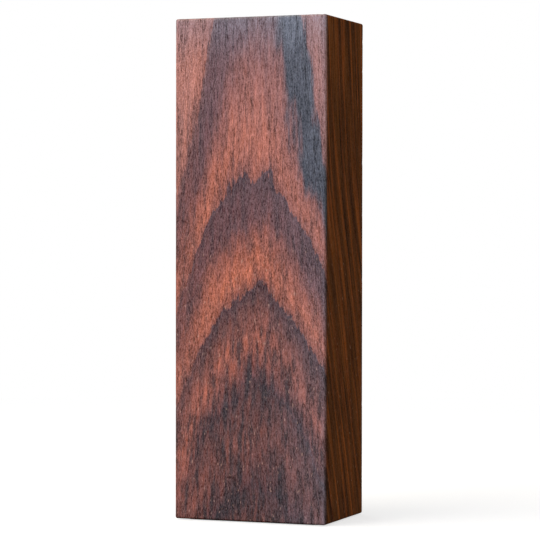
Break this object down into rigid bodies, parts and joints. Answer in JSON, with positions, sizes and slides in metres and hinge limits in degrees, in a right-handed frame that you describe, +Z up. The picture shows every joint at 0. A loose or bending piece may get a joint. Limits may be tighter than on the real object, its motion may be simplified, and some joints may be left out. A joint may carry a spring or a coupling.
{
  "type": "dip pen holder",
  "caption": "Tall rectangular block of dark figured wood that holds dip pens upright in lift-out brass wells sunk into its top, with a weighted foot on a recessed leather base.",
  "frame": {"origin": "centre of the underside of the base leather, on the surface that the holder stands on", "axes": "+Z up along the block's height; +X to the right, along the row of wells; -Y towards the front face"},
  "size_m": [0.048, 0.034, 0.1508],
  "materials": {
    "rosewood": "oiled, satin",
    "steel": "turned",
    "base_leather": "matte",
    "collar_brass": "turned, satin",
    "tube_brass": "drawn, lightly tarnished",
    "cork": "natural"
  },
  "bodies": {
    "block": {"wood_block": "rosewood", "base_leather": "base_leather", "left_ballast_rod": "steel", "centre_ballast_rod": "steel", "right_ballast_rod": "steel"},
    "left_well": {"left_well_collar": "collar_brass", "left_well_tube": "tube_brass", "left_well_end_plug": "tube_brass", "left_well_cork": "cork"},
    "centre_well": {"centre_well_collar": "collar_brass", "centre_well_tube": "tube_brass", "centre_well_end_plug": "tube_brass", "centre_well_cork": "cork"},
    "right_well": {"right_well_collar": "collar_brass", "right_well_tube": "tube_brass", "right_well_end_plug": "tube_brass", "right_well_cork": "cork"}
  },
  "joints": [
    {"name": "left_well_lift", "type": "slide", "parent": "block", "child": "left_well", "axis": [0, 0, 1], "range_m": [0, 0.12]},
    {"name": "centre_well_lift", "type": "slide", "parent": "block", "child": "centre_well", "axis": [0, 0, 1], "range_m": [0, 0.12]},
    {"name": "right_well_lift", "type": "slide", "parent": "block", "child": "right_well", "axis": [0, 0, 1], "range_m": [0, 0.12]}
  ]
}
